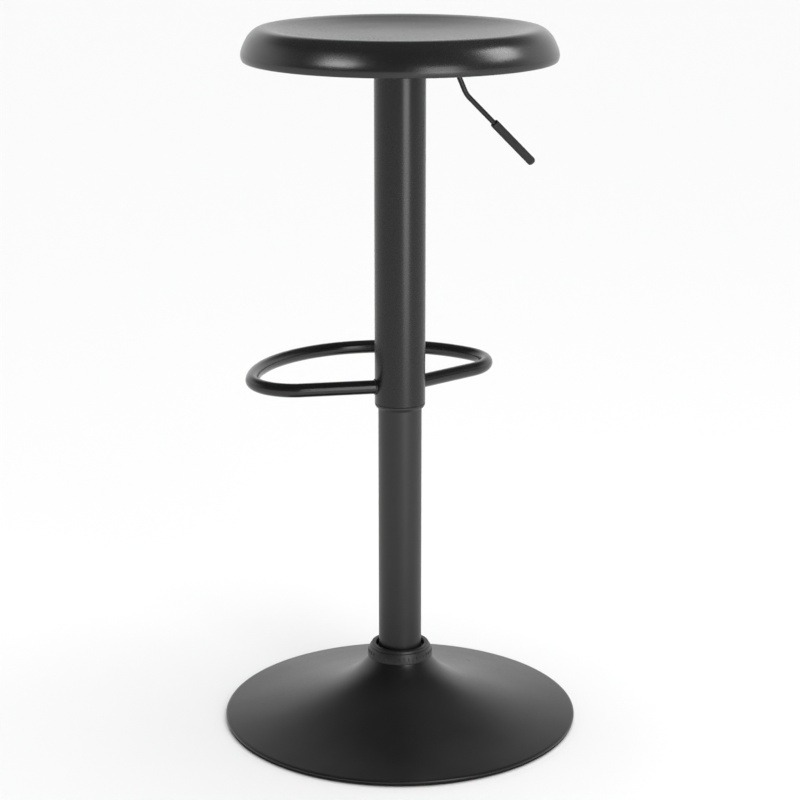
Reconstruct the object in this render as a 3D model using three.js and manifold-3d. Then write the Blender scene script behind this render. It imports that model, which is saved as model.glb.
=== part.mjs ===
// Gas-lift bar stool with a D-shaped footrest, as an assembly of its separate pieces.
// Millimetres, +Z up. The origin is on the floor, on the axis of the column.
// The stool stands at full height: the seat lift slides down from here and swivels about Z.

import * as THREE from 'three';
import { mergeVertices } from 'three/addons/utils/BufferGeometryUtils.js';
import Module from 'manifold-3d';

const wasm = await Module();
wasm.setup();

// ---------------------------------------------------------------- driving dimensions

const GAP = 0.3;              // space left between two pieces that touch
const LARGE_FACETS = 40;      // facets round the seat, the base and the tubes
const SMALL_FACETS = 20;      // facets round the gas spring's pieces
const BOLT_FACETS = 12;       // facets round a screw's shank

// floor ring and base
const BASE_RADIUS = 207.5;
const RUBBER_HEIGHT = 2.6;
const SHELL_BOTTOM = RUBBER_HEIGHT + GAP;
const SHELL_WALL = 1.8;
const NECK_RADIUS = 34.8;
const NECK_TOP = 86.7;
const PLATE_RADIUS = 198;
const PLATE_TOP = 5.1;
const BALLAST_RADIUS = 148;
const BALLAST_TOP = 12.4;
const BASE_SCREW_RADIUS = 104;

// standing column and its tapered socket
const COLUMN_RADIUS = 25;
const COLUMN_WALL = 2;
const COLUMN_BOTTOM = 12;
const COLUMN_TOP = 500;
const COLUMN_FOOT_RADIUS = 23.8;
const TAPER_TOP = 90;
const SOCKET_RADIUS = 28;
const SOCKET_TOP = 84;
const COLLAR_RADIUS = 38.2;
const COLLAR_OPENING = 28.4;
const COLLAR_TOP = 90;

// gas spring
const ROD_RADIUS = 5;
const ROD_STEP = 24.2;
const CYLINDER_RADIUS = 14;
const CYLINDER_WALL = 2;
const CYLINDER_BOTTOM = 276;
const CYLINDER_TAPER_START = 720;
const CYLINDER_TOP = 768.5;
const CYLINDER_TOP_RADIUS = 12.9;
const PISTON_BOTTOM = 300.2;
const BUTTON_RADIUS = 3;
const BUTTON_TOP = 772.2;

// cover tube and footrest
const COVER_RADIUS = 29;
const COVER_WALL = 1.5;
const COVER_BOTTOM = 385;
const COVER_TOP = 763.2;
const FOOTREST_HEIGHT = 404;
const FOOTREST_DIRECTION = 115.8;   // degrees from +X to the footrest's own axis
const FOOTREST_TUBE = 8;
const FOOTREST_BORE = 6.4;
const FOOTREST_LEG_ANGLE = 74.6;    // degrees between that axis and each leg
const FOOTREST_LEG = 114;
const FOOTREST_CORNER = 50.3;

// seat
const SEAT_WALL = 1.5;
const SEAT_TOP_PROFILE = [
  [0, 798], [40, 798.6], [80, 801.5], [110, 805.6], [132, 809.8], [143, 812.1], [151.5, 812.9],
  [158.5, 811.4], [164.4, 807.2], [169.2, 801.3], [174.1, 791.3], [176, 784], [175.5, 779.3],
  [174.2, 776.5],
];

// lift bracket and lever, laid out on the lever's own direction
const LEVER_DIRECTION = 25.8;       // degrees from +X to the way the lever points
const BRACKET_BOTTOM = 763.5;
const BRACKET_TOP = 789.5;
const BRACKET_SHEET = 2.5;
const BRACKET_HALF_LENGTH = 38;
const BRACKET_HALF_WIDTH = 33;
const FLANGE_HALF_WIDTH = 66;
const SEAT_SCREW_ALONG = 26;
const SEAT_SCREW_ACROSS = 50;
const PIVOT_ALONG = 28;
const PIVOT_HEIGHT = 775.5;
const PIVOT_RADIUS = 2.5;
const LEVER_RADIUS = 3;
const GRIP_RADIUS = 5;
const GRIP_LENGTH = 67;

// ---------------------------------------------------------------- finishes

const FINISHES = {
  blackCoat: { color: 0x1b1b1c, roughness: 0.4, metalness: 0.3 },
  satinCoat: { color: 0x202022, roughness: 0.5, metalness: 0.3 },
  rubber: { color: 0x101010, roughness: 0.9, metalness: 0 },
  plastic: { color: 0x18181a, roughness: 0.6, metalness: 0 },
  steel: { color: 0x8f9194, roughness: 0.35, metalness: 1 },
  bareIron: { color: 0x4b4c4e, roughness: 0.6, metalness: 0.9 },
  blackSteel: { color: 0x2c2c2e, roughness: 0.4, metalness: 0.8 },
  brass: { color: 0xb08d4a, roughness: 0.35, metalness: 1 },
};

const group = new THREE.Group();
group.name = 'bar_stool';

// ---------------------------------------------------------------- helpers

// Adds one named piece with its own material.
function addPiece(name, geometry, finish) {
  const mesh = new THREE.Mesh(geometry, new THREE.MeshStandardMaterial(FINISHES[finish]));
  mesh.name = name;
  group.add(mesh);
}

// A turned piece about Z. The profile is [radius, height] pairs, anticlockwise.
function turned(profile, facets) {
  const points = profile.map(([radius, height]) => new THREE.Vector2(radius, height));
  if (profile[0][0] > 0) {
    points.push(points[0].clone());
  }
  const geometry = new THREE.LatheGeometry(points, facets);
  geometry.rotateX(Math.PI / 2);
  return geometry;
}

// A plain ring or tube with square edges.
function ring(inner, outer, bottom, top, facets) {
  return turned([[inner, bottom], [outer, bottom], [outer, top], [inner, top]], facets);
}

// A solid cylinder that stands on Z, with its foot at the given height.
function post(radius, bottom, top, facets, x = 0, y = 0) {
  const geometry = new THREE.CylinderGeometry(radius, radius, top - bottom, facets);
  geometry.rotateX(Math.PI / 2);
  geometry.translate(x, y, (bottom + top) / 2);
  return geometry;
}

// A cylinder that lies along Y, centred there.
function crossPin(radius, length, facets, x, z) {
  const geometry = new THREE.CylinderGeometry(radius, radius, length, facets);
  geometry.translate(x, 0, z);
  return geometry;
}

function toSolid(geometry) {
  const bare = geometry.clone();
  bare.deleteAttribute('normal');
  bare.deleteAttribute('uv');
  const merged = mergeVertices(bare, 1e-4);
  return new wasm.Manifold(new wasm.Mesh({
    numProp: 3,
    vertProperties: new Float32Array(merged.attributes.position.array),
    triVerts: new Uint32Array(merged.index.array),
  }));
}

function toGeometry(solid) {
  const mesh = solid.getMesh();
  const geometry = new THREE.BufferGeometry();
  geometry.setAttribute('position', new THREE.BufferAttribute(mesh.vertProperties, 3));
  geometry.setIndex(new THREE.BufferAttribute(mesh.triVerts, 1));
  geometry.computeVertexNormals();
  return geometry;
}

function cut(geometry, tools) {
  let solid = toSolid(geometry);
  for (const tool of tools) {
    solid = solid.subtract(toSolid(tool));
  }
  return toGeometry(solid);
}

function join(pieces) {
  let solid = toSolid(pieces[0]);
  for (const piece of pieces.slice(1)) {
    solid = solid.add(toSolid(piece));
  }
  return toGeometry(solid);
}

// Moves each point of a profile sideways by the sheet's thickness, to the profile's right.
function offsetProfile(profile, distance) {
  return profile.map(([radius, height], i) => {
    const before = profile[Math.max(i - 1, 0)];
    const after = profile[Math.min(i + 1, profile.length - 1)];
    const length = Math.hypot(after[0] - before[0], after[1] - before[1]);
    const across = (after[1] - before[1]) / length;
    const down = (after[0] - before[0]) / length;
    return [Math.max(radius + distance * across, 0), height - distance * down];
  });
}

// Thins a profile to every second point, counted from its end so that the end stays.
function everyOther(profile) {
  return profile.filter((_, i) => (profile.length - 1 - i) % 2 === 0);
}

// Puts a piece that was laid out with the lever along +X on the lever's own direction.
function turnToLever(geometry) {
  return geometry.rotateZ(THREE.MathUtils.degToRad(LEVER_DIRECTION));
}

// Circular arc in a plane, from one angle to another, as a curve for a bent tube or rod.
class FlatArc extends THREE.Curve {
  constructor(centre, radius, start, end, place) {
    super();
    Object.assign(this, { centre, radius, start, end, place });
  }

  getPoint(t, target = new THREE.Vector3()) {
    const angle = this.start + (this.end - this.start) * t;
    const u = this.centre[0] + this.radius * Math.cos(angle);
    const v = this.centre[1] + this.radius * Math.sin(angle);
    return target.copy(this.place(u, v));
  }
}

// Evenly spaced points round a circle, as the outline of a round bar or its bore.
function circle(radius, facets) {
  return Array.from({ length: facets }, (_, i) => {
    const angle = (2 * Math.PI * i) / facets;
    return new THREE.Vector2(radius * Math.cos(angle), radius * Math.sin(angle));
  });
}

// Sweeps a round bar along a path, as a tube if it has a bore.
function bentBar(path, radius, facets, steps, bore = 0, boreFacets = 0) {
  const section = new THREE.Shape(circle(radius, facets));
  if (bore > 0) {
    section.holes.push(new THREE.Path(circle(bore, boreFacets)));
  }
  return new THREE.ExtrudeGeometry(section, { steps, extrudePath: path, bevelEnabled: false });
}

// ---------------------------------------------------------------- base

const skirt = new THREE.SplineCurve([
  [206.4, 6.1], [190, 8.8], [165, 13.2], [135, 19.8], [105, 28.6], [80, 38], [62, 47.8],
  [50, 57.4], [42.5, 66], [37.6, 73], [35.4, 78],
].map(([radius, height]) => new THREE.Vector2(radius, height)));

const skirtOutside = [
  ...skirt.getPoints(11).map((point) => [point.x, point.y]),
  [NECK_RADIUS, 80.5],
  [NECK_RADIUS, NECK_TOP],
];
const skirtInside = everyOther(offsetProfile(skirtOutside, -SHELL_WALL)).reverse();

addPiece('base_shell', turned([
  [203.4, SHELL_BOTTOM],
  [206.5, SHELL_BOTTOM],
  [BASE_RADIUS, SHELL_BOTTOM + 0.9],
  [BASE_RADIUS, SHELL_BOTTOM + 2.2],
  ...skirtOutside,
  ...skirtInside,
  [203.4, 4.7],
], LARGE_FACETS), 'satinCoat');

addPiece('floor_ring', turned([
  [190, 0], [205.6, 0], [206.3, 0.7], [206.3, RUBBER_HEIGHT], [190, RUBBER_HEIGHT],
], LARGE_FACETS), 'rubber');

const screwAngles = [45, 135, 225, 315].map((angle) => THREE.MathUtils.degToRad(angle));
const baseScrewPlaces = screwAngles.map((angle) => [
  BASE_SCREW_RADIUS * Math.cos(angle),
  BASE_SCREW_RADIUS * Math.sin(angle),
]);

// A countersunk screw's shape, or its hole when it is spread wider.
function countersink(x, y, spread) {
  const headBottom = SHELL_BOTTOM + 0.2 - spread;
  const headTop = SHELL_BOTTOM + 1.9;
  const flare = (3 * (headTop - headBottom)) / 1.7;
  const geometry = turned([
    [0, headBottom],
    [3 + spread + flare, headBottom],
    [3 + spread, headTop],
    [3 + spread, 11.4 + 2 * spread],
    [0, 11.4 + 2 * spread],
  ], BOLT_FACETS);
  return geometry.translate(x, y, 0);
}

const screwHoles = baseScrewPlaces.map(([x, y]) => countersink(x, y, GAP));
const plateBlank = ring(27, PLATE_RADIUS, SHELL_BOTTOM, PLATE_TOP, LARGE_FACETS);
addPiece('base_plate', cut(plateBlank, screwHoles), 'bareIron');
addPiece('base_ballast', cut(turned([
  [46, PLATE_TOP + GAP],
  [BALLAST_RADIUS, PLATE_TOP + GAP],
  [BALLAST_RADIUS, BALLAST_TOP - 1],
  [BALLAST_RADIUS - 2, BALLAST_TOP],
  [46, BALLAST_TOP],
], LARGE_FACETS), screwHoles), 'bareIron');
baseScrewPlaces.forEach(([x, y], i) => {
  addPiece(`base_screw_${i + 1}`, countersink(x, y, 0), 'steel');
});

// ---------------------------------------------------------------- socket, collar and column

// Column radius at a height, inside the tapered part.
function columnRadius(height) {
  const share = (height - COLUMN_BOTTOM) / (TAPER_TOP - COLUMN_BOTTOM);
  return COLUMN_FOOT_RADIUS + (COLUMN_RADIUS - COLUMN_FOOT_RADIUS) * share;
}

addPiece('base_socket', turned([
  [COLUMN_FOOT_RADIUS + GAP, PLATE_TOP + GAP],
  [44, PLATE_TOP + GAP],
  [44, 8.6],
  [SOCKET_RADIUS, 8.6],
  [SOCKET_RADIUS, SOCKET_TOP],
  [columnRadius(SOCKET_TOP) + GAP, SOCKET_TOP],
  [COLUMN_FOOT_RADIUS + GAP, COLUMN_BOTTOM],
], LARGE_FACETS), 'bareIron');

addPiece('neck_ring', ring(
  SOCKET_RADIUS + GAP, NECK_RADIUS - SHELL_WALL - GAP, 66, 79.2, LARGE_FACETS,
), 'bareIron');

addPiece('collar_ring', turned([
  [36.9, 74.8],
  [COLLAR_RADIUS, 74.8],
  [37.8, 83.5],
  [36.4, 87.8],
  [33.4, COLLAR_TOP],
  [COLLAR_OPENING, COLLAR_TOP],
  [COLLAR_OPENING, 80.2],
  [31, 80.2],
  [31, NECK_TOP + GAP],
  [NECK_RADIUS + GAP, NECK_TOP + GAP],
  [NECK_RADIUS + GAP, 81.2],
], LARGE_FACETS), 'plastic');

addPiece('column_tube', turned([
  [COLUMN_FOOT_RADIUS - COLUMN_WALL, COLUMN_BOTTOM],
  [COLUMN_FOOT_RADIUS, COLUMN_BOTTOM],
  [COLUMN_RADIUS, TAPER_TOP],
  [COLUMN_RADIUS, COLUMN_TOP],
  [COLUMN_RADIUS - COLUMN_WALL, COLUMN_TOP],
  [COLUMN_RADIUS - COLUMN_WALL, TAPER_TOP],
], LARGE_FACETS), 'satinCoat');

addPiece('column_bush', turned([
  [CYLINDER_RADIUS + 0.25, 436],
  [20.5, 436],
  [22.7, 440],
  [22.7, COLUMN_TOP + GAP],
  [24.7, COLUMN_TOP + GAP],
  [24.7, 502.2],
  [23.9, 503],
  [CYLINDER_RADIUS + 0.25, 503],
], SMALL_FACETS), 'plastic');

addPiece('column_foot', ring(4.3, 21.5, 13, 17, SMALL_FACETS), 'bareIron');

// ---------------------------------------------------------------- thrust bearing

addPiece('bearing_washer_lower', ring(4.3, 11, 17.3, 18.8, SMALL_FACETS), 'steel');

addPiece('bearing_cage', ring(5, 10.5, 19.1, 22.1, SMALL_FACETS), 'steel');
addPiece('bearing_washer_upper', ring(4.3, 11, 22.4, 23.9, SMALL_FACETS), 'steel');

// ---------------------------------------------------------------- piston rod, the part that turns

addPiece('piston_rod', turned([
  [0, 7],
  [3.4, 7],
  [4, 7.8],
  [4, 9],
  [3, 9],
  [3, 10.4],
  [4, 10.4],
  [4, ROD_STEP],
  [ROD_RADIUS, ROD_STEP],
  [ROD_RADIUS, PISTON_BOTTOM - GAP],
  [3.6, PISTON_BOTTOM - GAP],
  [3.6, 316],
  [0, 316],
], SMALL_FACETS), 'steel');
addPiece('rod_clip', ring(3.3, 7, 9.25, 10.15, SMALL_FACETS), 'blackSteel');
addPiece('rod_washer', ring(4.3, 10, 10.6, 12.6, SMALL_FACETS), 'steel');
addPiece('piston_head', turned([
  [3.9, PISTON_BOTTOM],
  [11.6, PISTON_BOTTOM],
  [11.6, 305],
  [10.2, 305],
  [10.2, 309],
  [11.6, 309],
  [11.6, 314],
  [3.9, 314],
], SMALL_FACETS), 'steel');
addPiece('piston_seal', ring(10.5, 11.65, 305.3, 308.7, SMALL_FACETS), 'rubber');

// ---------------------------------------------------------------- gas cylinder and valve

const cylinderBore = CYLINDER_RADIUS - CYLINDER_WALL;
addPiece('gas_cylinder', turned([
  [10.5, CYLINDER_BOTTOM],
  [CYLINDER_RADIUS, CYLINDER_BOTTOM],
  [CYLINDER_RADIUS, CYLINDER_TAPER_START],
  [CYLINDER_TOP_RADIUS, CYLINDER_TOP],
  [BUTTON_RADIUS + GAP, CYLINDER_TOP],
  [BUTTON_RADIUS + GAP, 765],
  [10.9, 765],
  [10.9, 740],
  [cylinderBore, CYLINDER_TAPER_START],
  [cylinderBore, 279.6],
  [10.5, 279.6],
], SMALL_FACETS), 'blackSteel');
addPiece('cylinder_guide', ring(ROD_RADIUS + 0.25, 11.7, 280, 299.8, SMALL_FACETS), 'plastic');
addPiece('valve_block', ring(BUTTON_RADIUS + GAP, 10.6, 743, 764.7, SMALL_FACETS), 'brass');
addPiece('valve_button', turned([
  [0, 747],
  [BUTTON_RADIUS, 747],
  [BUTTON_RADIUS, BUTTON_TOP - 1],
  [BUTTON_RADIUS - 0.8, BUTTON_TOP],
  [0, BUTTON_TOP],
], BOLT_FACETS), 'steel');

// ---------------------------------------------------------------- cover tube

addPiece('cover_tube', ring(
  COVER_RADIUS - COVER_WALL, COVER_RADIUS, COVER_BOTTOM, COVER_TOP, LARGE_FACETS,
), 'blackCoat');
addPiece('cover_bush', turned([
  [COLUMN_RADIUS + 0.4, 379.4],
  [COLUMN_RADIUS + 1.2, 379.1],
  [COVER_RADIUS - 1.3, 380.6],
  [COVER_RADIUS - 0.2, 382.6],
  [COVER_RADIUS, COVER_BOTTOM - GAP],
  [COVER_RADIUS - COVER_WALL - GAP, COVER_BOTTOM - GAP],
  [COVER_RADIUS - COVER_WALL - GAP, 432],
  [COLUMN_RADIUS + 0.4, 432],
], LARGE_FACETS), 'plastic');
addPiece('seat_hub', turned([
  [CYLINDER_RADIUS + GAP, CYLINDER_TAPER_START],
  [19, CYLINDER_TAPER_START],
  [19, COVER_TOP],
  [13.4, COVER_TOP],
], SMALL_FACETS), 'bareIron');

// ---------------------------------------------------------------- footrest

// One half turns left of the axis and the other right: side is +1 or -1.
const legAngle = THREE.MathUtils.degToRad(FOOTREST_LEG_ANGLE);
const cornerAlong = FOOTREST_LEG * Math.cos(legAngle) + FOOTREST_CORNER * Math.sin(legAngle);
const cornerAcross = FOOTREST_LEG * Math.sin(legAngle) - FOOTREST_CORNER * Math.cos(legAngle);
const FRONT_CENTRE = 37.8;
const frontAngle = Math.atan2(cornerAcross, cornerAlong - FRONT_CENTRE);
const frontRadius = FOOTREST_CORNER + Math.hypot(cornerAlong - FRONT_CENTRE, cornerAcross);
const cornerStart = Math.PI / 2 + legAngle;
const LEG_START = 22;

function level(u, v) {
  return new THREE.Vector3(u, v, FOOTREST_HEIGHT);
}

function legPoint(distance, side) {
  return level(distance * Math.cos(legAngle), side * distance * Math.sin(legAngle));
}

function cornerArc(side, start, end) {
  const centre = [cornerAlong, side * cornerAcross];
  return new FlatArc(centre, FOOTREST_CORNER, side * start, side * end, level);
}

const footrestPath = new THREE.CurvePath();
footrestPath.add(new THREE.LineCurve3(legPoint(LEG_START, 1), legPoint(FOOTREST_LEG, 1)));
footrestPath.add(cornerArc(1, cornerStart, frontAngle));
footrestPath.add(new FlatArc([FRONT_CENTRE, 0], frontRadius, frontAngle, -frontAngle, level));
footrestPath.add(cornerArc(-1, frontAngle, cornerStart));
footrestPath.add(new THREE.LineCurve3(legPoint(FOOTREST_LEG, -1), legPoint(LEG_START, -1)));

const footrestBar = bentBar(footrestPath, FOOTREST_TUBE, 10, 52, FOOTREST_BORE, 5);
footrestBar.rotateZ(THREE.MathUtils.degToRad(FOOTREST_DIRECTION));
const saddle = post(COVER_RADIUS + GAP, 380, 430, LARGE_FACETS);
addPiece('foot_ring', cut(footrestBar, [saddle]), 'blackCoat');

// ---------------------------------------------------------------- seat

const seatUnderside = everyOther(offsetProfile(SEAT_TOP_PROFILE, SEAT_WALL));
addPiece('seat_pan', turned([
  ...seatUnderside,
  ...SEAT_TOP_PROFILE.slice().reverse(),
], LARGE_FACETS), 'blackCoat');

const seatScrewPlaces = [[1, 1], [-1, 1], [-1, -1], [1, -1]].map(
  ([along, across]) => [along * SEAT_SCREW_ALONG, across * SEAT_SCREW_ACROSS],
);
const seatScrewHoles = seatScrewPlaces.map(([x, y]) => post(3.3, 780, 800, BOLT_FACETS, x, y));

const stiffenerBlank = turned([
  [20, BRACKET_TOP + GAP],
  [74, BRACKET_TOP + GAP],
  [88, 798.8],
  [104, 801],
  [104, 803.2],
  [89, 801],
  [73, 792.2],
  [20, 792.2],
], LARGE_FACETS);
addPiece('seat_stiffener', turnToLever(cut(stiffenerBlank, seatScrewHoles)), 'bareIron');

// ---------------------------------------------------------------- lift bracket under the seat

const bracketSection = new THREE.Shape([
  [-FLANGE_HALF_WIDTH, BRACKET_TOP - BRACKET_SHEET],
  [-BRACKET_HALF_WIDTH, BRACKET_TOP - BRACKET_SHEET],
  [-BRACKET_HALF_WIDTH, BRACKET_BOTTOM],
  [BRACKET_HALF_WIDTH, BRACKET_BOTTOM],
  [BRACKET_HALF_WIDTH, BRACKET_TOP - BRACKET_SHEET],
  [FLANGE_HALF_WIDTH, BRACKET_TOP - BRACKET_SHEET],
  [FLANGE_HALF_WIDTH, BRACKET_TOP],
  [BRACKET_HALF_WIDTH - BRACKET_SHEET, BRACKET_TOP],
  [BRACKET_HALF_WIDTH - BRACKET_SHEET, BRACKET_BOTTOM + BRACKET_SHEET],
  [BRACKET_SHEET - BRACKET_HALF_WIDTH, BRACKET_BOTTOM + BRACKET_SHEET],
  [BRACKET_SHEET - BRACKET_HALF_WIDTH, BRACKET_TOP],
  [-FLANGE_HALF_WIDTH, BRACKET_TOP],
].map(([across, height]) => new THREE.Vector2(across, height)));

const bracketBlank = new THREE.ExtrudeGeometry(bracketSection, {
  depth: 2 * BRACKET_HALF_LENGTH,
  bevelEnabled: false,
});
bracketBlank.rotateX(Math.PI / 2);
bracketBlank.rotateZ(Math.PI / 2);
bracketBlank.translate(-BRACKET_HALF_LENGTH, 0, 0);

addPiece('lift_bracket', turnToLever(cut(bracketBlank, [
  post(14.6, 760, 770, SMALL_FACETS),
  crossPin(PIVOT_RADIUS + 0.1, 80, BOLT_FACETS, PIVOT_ALONG, PIVOT_HEIGHT),
  ...seatScrewHoles,
])), 'satinCoat');

seatScrewPlaces.forEach(([x, y], i) => {
  const washer = ring(3.3, 6.5, 785.4, 786.7, BOLT_FACETS).translate(x, y, 0);
  addPiece(`seat_washer_${i + 1}`, turnToLever(washer), 'steel');
  const screw = join([
    post(5.6, 781.1, 785.1, 6, x, y),
    post(3, 785, 795, BOLT_FACETS, x, y),
  ]);
  addPiece(`seat_screw_${i + 1}`, turnToLever(screw), 'steel');
});

// ---------------------------------------------------------------- lever

const pivotPin = join([
  crossPin(PIVOT_RADIUS, 2 * BRACKET_HALF_WIDTH + 4, BOLT_FACETS, PIVOT_ALONG, PIVOT_HEIGHT),
  crossPin(4.2, 1.6, BOLT_FACETS, PIVOT_ALONG, PIVOT_HEIGHT)
    .translate(0, BRACKET_HALF_WIDTH + 1.1, 0),
  crossPin(4.2, 1.6, BOLT_FACETS, PIVOT_ALONG, PIVOT_HEIGHT)
    .translate(0, -BRACKET_HALF_WIDTH - 1.1, 0),
]);
addPiece('lever_pivot', turnToLever(pivotPin), 'steel');

// The rod runs out level, drops steeply and then slants to the grip.
const LEVER_CORNERS = [[-3, PIVOT_HEIGHT], [63.8, PIVOT_HEIGHT], [82.8, 733.7], [163, 656.7]];
const LEVER_BENDS = [14, 30];

function upright(u, v) {
  return new THREE.Vector3(u, 0, v);
}

// Joins straight stretches with arcs that turn clockwise or anticlockwise at each corner.
function roundedPath(corners, bends, place) {
  const path = new THREE.CurvePath();
  let from = corners[0];
  for (let i = 1; i < corners.length - 1; i += 1) {
    const heading = Math.atan2(corners[i][1] - corners[i - 1][1], corners[i][0] - corners[i - 1][0]);
    const next = Math.atan2(corners[i + 1][1] - corners[i][1], corners[i + 1][0] - corners[i][0]);
    const turn = next - heading;
    const side = Math.sign(turn);
    const bend = bends[i - 1];
    const setback = bend * Math.tan(Math.abs(turn) / 2);
    const start = [
      corners[i][0] - setback * Math.cos(heading),
      corners[i][1] - setback * Math.sin(heading),
    ];
    const centre = [
      start[0] - side * bend * Math.sin(heading),
      start[1] + side * bend * Math.cos(heading),
    ];
    const first = heading - (side * Math.PI) / 2;
    path.add(new THREE.LineCurve3(place(...from), place(...start)));
    path.add(new FlatArc(centre, bend, first, first + turn, place));
    from = [
      corners[i][0] + setback * Math.cos(next),
      corners[i][1] + setback * Math.sin(next),
    ];
  }
  path.add(new THREE.LineCurve3(place(...from), place(...corners[corners.length - 1])));
  return path;
}

const leverPath = roundedPath(LEVER_CORNERS, LEVER_BENDS, upright);
const leverBar = bentBar(leverPath, LEVER_RADIUS, 8, 34);
const crossTube = crossPin(5, 58, BOLT_FACETS, PIVOT_ALONG, PIVOT_HEIGHT);
const leverBore = crossPin(PIVOT_RADIUS + 0.1, 60, BOLT_FACETS, PIVOT_ALONG, PIVOT_HEIGHT);
const leverSolid = cut(join([leverBar, crossTube]), [leverBore]);
addPiece('lever_rod', turnToLever(leverSolid), 'blackCoat');

// The grip is a sleeve that is closed at its outer end.
const [gripFrom, gripTo] = LEVER_CORNERS.slice(2);
const gripSlope = Math.atan2(gripTo[1] - gripFrom[1], gripTo[0] - gripFrom[0]);
const GRIP_START = [121.6, 696.45];
const grip = turned([
  [0, GRIP_LENGTH - 9],
  [LEVER_RADIUS + GAP, GRIP_LENGTH - 9],
  [LEVER_RADIUS + GAP, 0],
  [GRIP_RADIUS - 0.6, 0],
  [GRIP_RADIUS, 0.8],
  [GRIP_RADIUS, GRIP_LENGTH - 3.2],
  [GRIP_RADIUS - 1.2, GRIP_LENGTH - 1.2],
  [GRIP_RADIUS - 3, GRIP_LENGTH - 0.2],
  [0, GRIP_LENGTH],
], 20);
grip.rotateY(Math.PI / 2 - gripSlope);
grip.translate(GRIP_START[0], 0, GRIP_START[1]);
addPiece('lever_grip', turnToLever(grip), 'plastic');

export default group;
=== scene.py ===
# %% [markdown]
# # A gas-lift bar stool
#
# This notebook dresses a bar stool in Blender. The stool has a pressed metal seat, a cover tube
# that slides over a standing column, a bent tube footrest, a thin release lever and a flared
# base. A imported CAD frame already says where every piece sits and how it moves. Each step here
# makes one finer piece, puts it on the body that carries it, and gives it a finish.

# %% Load the frame and measure it
import math

import bmesh
import bpy
from mathutils import Matrix, Vector


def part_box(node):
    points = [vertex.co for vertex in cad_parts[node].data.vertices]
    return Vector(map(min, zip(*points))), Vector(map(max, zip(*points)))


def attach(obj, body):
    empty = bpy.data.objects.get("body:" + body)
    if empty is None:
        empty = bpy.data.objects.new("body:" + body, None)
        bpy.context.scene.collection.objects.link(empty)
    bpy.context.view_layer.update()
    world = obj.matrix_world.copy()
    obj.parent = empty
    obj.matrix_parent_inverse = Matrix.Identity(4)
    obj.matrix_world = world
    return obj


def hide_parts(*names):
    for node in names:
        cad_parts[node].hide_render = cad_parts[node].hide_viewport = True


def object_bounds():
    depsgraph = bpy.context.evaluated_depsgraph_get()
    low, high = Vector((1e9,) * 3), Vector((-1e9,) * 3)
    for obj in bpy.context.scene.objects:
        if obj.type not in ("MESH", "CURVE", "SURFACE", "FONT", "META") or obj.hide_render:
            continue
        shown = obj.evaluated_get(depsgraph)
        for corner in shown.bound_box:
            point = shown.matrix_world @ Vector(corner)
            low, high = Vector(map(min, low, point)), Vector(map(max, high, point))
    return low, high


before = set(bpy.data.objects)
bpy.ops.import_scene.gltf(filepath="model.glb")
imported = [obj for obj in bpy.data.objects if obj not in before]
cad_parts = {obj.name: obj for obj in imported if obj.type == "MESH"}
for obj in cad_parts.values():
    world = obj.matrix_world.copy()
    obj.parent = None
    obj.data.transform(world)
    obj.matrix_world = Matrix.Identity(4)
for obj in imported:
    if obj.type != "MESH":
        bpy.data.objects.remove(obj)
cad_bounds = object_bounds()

MM = 0.001
for corner in cad_bounds:
    print("frame corner in mm:", [round(value / MM, 1) for value in corner])

# %% [markdown]
# ## The camera
#
# A product picture is taken from a distance with a long lens, so that round things stay round.
# The camera stands about 2.4 m in front of the stool, a little above the seat, and looks down by
# 15 degrees. It could be aimed with a constraint, but plain numbers can't drift.

# %% Place the camera
CAMERA_PLACE = (0.0, -2.4066, 1.0467)
CAMERA_TILT_DOWN = 15.329
CAMERA_LENS = 97.55

lens = bpy.data.cameras.new("studio_camera")
lens.lens = CAMERA_LENS
lens.sensor_width = 36.0
lens.clip_end = 200.0
camera = bpy.data.objects.new("studio_camera", lens)
camera.location = CAMERA_PLACE
camera.rotation_euler = (math.radians(90.0 - CAMERA_TILT_DOWN), 0.0, 0.0)
bpy.context.scene.collection.objects.link(camera)
bpy.context.scene.camera = camera
print("camera stands", round(camera.location.length, 2), "m from the foot of the column")

# %% [markdown]
# ## The floor
#
# The stool stands on a plain pale floor, as in a studio. A curved backdrop would hide the horizon,
# but a very wide flat sheet does the same at this camera height and is one face. It lies a hair
# under the feet, because two faces in one plane flicker.

# %% Lay the floor
FLOOR_SIZE = 60.0
FLOOR_DROP = 0.0002


def node_in(tree, kind, **settings):
    """A new node in a tree, with its settings."""
    made_node = tree.nodes.new(kind)
    for key, value in settings.items():
        setattr(made_node, key, value)
    return made_node


def pale_floor_material():
    """A matt near-white, so that the floor shows soft shadows and no reflection."""
    material = bpy.data.materials.new("pale_floor")
    material.use_nodes = True
    shader = material.node_tree.nodes["Principled BSDF"]
    shader.inputs["Base Color"].default_value = (0.86, 0.86, 0.86, 1.0)
    shader.inputs["Roughness"].default_value = 0.9
    shader.inputs["Specular IOR Level"].default_value = 0.1
    return material


floor_mesh = bpy.data.meshes.new("floor")
half = FLOOR_SIZE / 2
floor_mesh.from_pydata(
    [(-half, -half, 0), (half, -half, 0), (half, half, 0), (-half, half, 0)], [], [(0, 1, 2, 3)]
)
floor_mesh.materials.append(pale_floor_material())
floor = bpy.data.objects.new("floor", floor_mesh)
floor.location.z = cad_bounds[0][2] - FLOOR_DROP
bpy.context.scene.collection.objects.link(floor)
print("floor is", FLOOR_SIZE, "m wide")

# %% [markdown]
# ## The light
#
# Black lacquer shows what is round it more than it shows its own colour, so the light is what
# draws it. A white room low down brightens the edges, a dark ceiling keeps the upper side of the
# rim dark, and soft boxes leave the highlights. One room image could do all this, but lamps can be
# moved one by one. A broad sun only brightens the floor, so it is hidden from reflections.

# %% Light the room
AIM_HEIGHT = 0.7


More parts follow.
